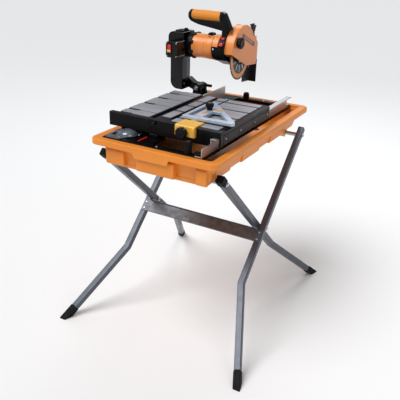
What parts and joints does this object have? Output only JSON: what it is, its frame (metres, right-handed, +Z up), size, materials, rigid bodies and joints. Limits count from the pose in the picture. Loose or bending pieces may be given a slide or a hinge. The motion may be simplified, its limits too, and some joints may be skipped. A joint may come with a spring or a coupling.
{
  "type": "tile cutter",
  "caption": "Wet tile saw: water tray with a sliding tile carriage, tilting saw head on a column, angle guide and a folding cross-legged stand.",
  "frame": {"origin": "on the floor at the middle of the standing object's footprint", "axes": "+X to the operator's right when facing the short front edge of the tray, +Y to the rear, +Z up"},
  "size_m": [0.8136, 0.9116, 1.1655],
  "materials": {
    "orange_tray": "satin moulded plastic",
    "orange_housing": "satin gloss moulded plastic",
    "orange_grip": "soft matt grip",
    "black_plastic": "fine grained",
    "black_gloss": "gloss",
    "black_steel": "powder coat",
    "black_rubber": "matt",
    "leg_steel": "metallic grey coat",
    "bright_steel": "brushed",
    "gauge_metal": "satin",
    "table_pad": "ribbed grey pad",
    "bronze_roller": "smooth",
    "yellow_plastic": "satin",
    "red_plastic": "gloss",
    "pump_cap": "gloss",
    "blade_steel": "coated disc with a ground rim"
  },
  "bodies": {
    "saw_base": {"tray": "orange_tray", "front_saddle": "orange_tray", "drain_plug": "black_rubber", "support_frame": "black_steel", "left_rail": "bright_steel", "right_rail": "bright_steel", "side_table": "table_pad", "side_table_bar": "black_steel", "pump_housing": "black_plastic", "pump_dome": "pump_cap", "front_post": "black_plastic", "rear_post": "black_plastic", "tilt_base": "black_steel", "tilt_pin": "bright_steel"},
    "outer_frame": {"outer_leg_left": "leg_steel", "outer_leg_right": "leg_steel", "outer_foot_left": "black_rubber", "outer_foot_right": "black_rubber", "cross_plate": "leg_steel", "rear_rod": "bright_steel", "pivot_bolt_left": "bright_steel", "pivot_bolt_right": "bright_steel"},
    "inner_frame": {"inner_leg_left": "leg_steel", "inner_leg_right": "leg_steel", "inner_foot_left": "black_rubber", "inner_foot_right": "black_rubber", "front_rod": "bright_steel"},
    "tilt_handle": {"tilt_lock": "black_plastic"},
    "sliding_carriage": {"carriage": "black_steel", "carriage_bar": "black_steel"},
    "front_left_roller": {"roller_left_0": "bronze_roller"},
    "rear_left_roller": {"roller_left_1": "bronze_roller"},
    "front_right_roller": {"roller_right_0": "bronze_roller"},
    "rear_right_roller": {"roller_right_1": "bronze_roller"},
    "carriage_lever": {"carriage_lock": "black_plastic"},
    "guide": {"guide_clamp": "yellow_plastic", "guide_arm": "gauge_metal", "gauge_stud": "bright_steel"},
    "clamp_knob": {"guide_knob": "black_plastic"},
    "gauge": {"gauge_plate": "gauge_metal"},
    "stud_knob": {"gauge_knob": "black_plastic"},
    "tilt_column": {"column": "black_gloss", "column_foot": "black_steel"},
    "saw_head": {"head_bracket": "black_gloss", "switch_box": "black_gloss", "motor_ring": "black_plastic", "motor_body": "orange_housing", "gearbox": "black_plastic", "blade_guard": "orange_housing", "handle_frame": "black_plastic", "handle_grip": "orange_grip", "water_fitting": "black_plastic"},
    "switch_paddle": {"power_switch": "red_plastic"},
    "depth_knob": {"height_knob": "black_plastic"},
    "cover_knob": {"guard_knob": "black_plastic"},
    "spindle": {"arbor_shaft": "bright_steel", "saw_blade": "blade_steel", "arbor_nut": "bright_steel"},
    "flap": {"splash_flap": "black_rubber"},
    "water_lever": {"valve_lever": "black_plastic"}
  },
  "joints": [
    {"name": "stand_fold", "type": "hinge", "parent": "saw_base", "child": "outer_frame", "pos_m": [0, 0.31601, 0.69361], "axis": [1, 0, 0], "range_deg": [0, 36]},
    {"name": "scissor_pivot", "type": "hinge", "parent": "outer_frame", "child": "inner_frame", "pos_m": [0, 0, 0.402], "axis": [1, 0, 0], "range_deg": [-72, 0]},
    {"name": "carriage_slide", "type": "slide", "parent": "saw_base", "child": "sliding_carriage", "axis": [0, 1, 0], "range_m": [-0.025, 0.22]},
    {"name": "front_left_roller_spin", "type": "hinge", "parent": "sliding_carriage", "child": "front_left_roller", "pos_m": [-0.0603, -0.19, 0.8027], "axis": [1, 0, 0], "range_deg": [-1060, 130]},
    {"name": "rear_left_roller_spin", "type": "hinge", "parent": "sliding_carriage", "child": "rear_left_roller", "pos_m": [-0.0603, 0.055, 0.8027], "axis": [1, 0, 0], "range_deg": [-1060, 130]},
    {"name": "front_right_roller_spin", "type": "hinge", "parent": "sliding_carriage", "child": "front_right_roller", "pos_m": [0.1503, -0.19, 0.8027], "axis": [1, 0, 0], "range_deg": [-1060, 130]},
    {"name": "rear_right_roller_spin", "type": "hinge", "parent": "sliding_carriage", "child": "rear_right_roller", "pos_m": [0.1503, 0.055, 0.8027], "axis": [1, 0, 0], "range_deg": [-1060, 130]},
    {"name": "carriage_lever_turn", "type": "hinge", "parent": "sliding_carriage", "child": "carriage_lever", "pos_m": [-0.0455, -0.3003, 0.845], "axis": [0, 1, 0], "range_deg": [-60, 0]},
    {"name": "guide_slide", "type": "slide", "parent": "sliding_carriage", "child": "guide", "axis": [1, 0, 0], "range_m": [-0.045, 0.055]},
    {"name": "clamp_knob_turn", "type": "hinge", "parent": "guide", "child": "clamp_knob", "pos_m": [0.077, -0.3143, 0.84], "axis": [0, 1, 0], "continuous": true},
    {"name": "gauge_turn", "type": "hinge", "parent": "guide", "child": "gauge", "pos_m": [0.078, -0.135, 0.8632], "axis": [0, 0, 1], "range_deg": [-45, 45]},
    {"name": "stud_knob_turn", "type": "hinge", "parent": "guide", "child": "stud_knob", "pos_m": [0.078, -0.135, 0.874], "axis": [0, 0, 1], "continuous": true},
    {"name": "head_tilt", "type": "hinge", "parent": "saw_base", "child": "tilt_column", "pos_m": [-0.15, 0.2045, 0.857], "axis": [0, 1, 0], "range_deg": [-45, 0]},
    {"name": "tilt_lock_turn", "type": "hinge", "parent": "saw_base", "child": "tilt_handle", "pos_m": [-0.15, 0.2383, 0.857], "axis": [0, 1, 0], "range_deg": [-60, 0]},
    {"name": "head_height", "type": "slide", "parent": "tilt_column", "child": "saw_head", "axis": [0, 0, 1], "range_m": [-0.05, 0]},
    {"name": "power_switch_press", "type": "hinge", "parent": "saw_head", "child": "switch_paddle", "pos_m": [-0.22, 0.0762, 1.024], "axis": [1, 0, 0], "range_deg": [-6, 0]},
    {"name": "depth_knob_turn", "type": "hinge", "parent": "saw_head", "child": "depth_knob", "pos_m": [-0.228, 0.2235, 1.03], "axis": [0, 1, 0], "continuous": true},
    {"name": "cover_knob_turn", "type": "hinge", "parent": "saw_head", "child": "cover_knob", "pos_m": [0.0128, 0.206, 1.052], "axis": [1, 0, 0], "continuous": true},
    {"name": "blade_spin", "type": "hinge", "parent": "saw_head", "child": "spindle", "pos_m": [-0.005, 0.268, 0.985], "axis": [1, 0, 0], "continuous": true},
    {"name": "flap_swing", "type": "hinge", "parent": "saw_head", "child": "flap", "pos_m": [-0.005, 0.403, 0.9615], "axis": [1, 0, 0], "range_deg": [0, 12]},
    {"name": "water_lever_turn", "type": "hinge", "parent": "saw_head", "child": "water_lever", "pos_m": [-0.005, 0.383, 1.1008], "axis": [0, 0, 1], "range_deg": [0, 90]}
  ],
  "couplings": [
    {"joint": "scissor_pivot", "follows": "stand_fold", "ratio": -2},
    {"joint": "front_left_roller_spin", "follows": "carriage_slide", "rad_per_m": -83.333},
    {"joint": "rear_left_roller_spin", "follows": "carriage_slide", "rad_per_m": -83.333},
    {"joint": "front_right_roller_spin", "follows": "carriage_slide", "rad_per_m": -83.333},
    {"joint": "rear_right_roller_spin", "follows": "carriage_slide", "rad_per_m": -83.333}
  ]
}
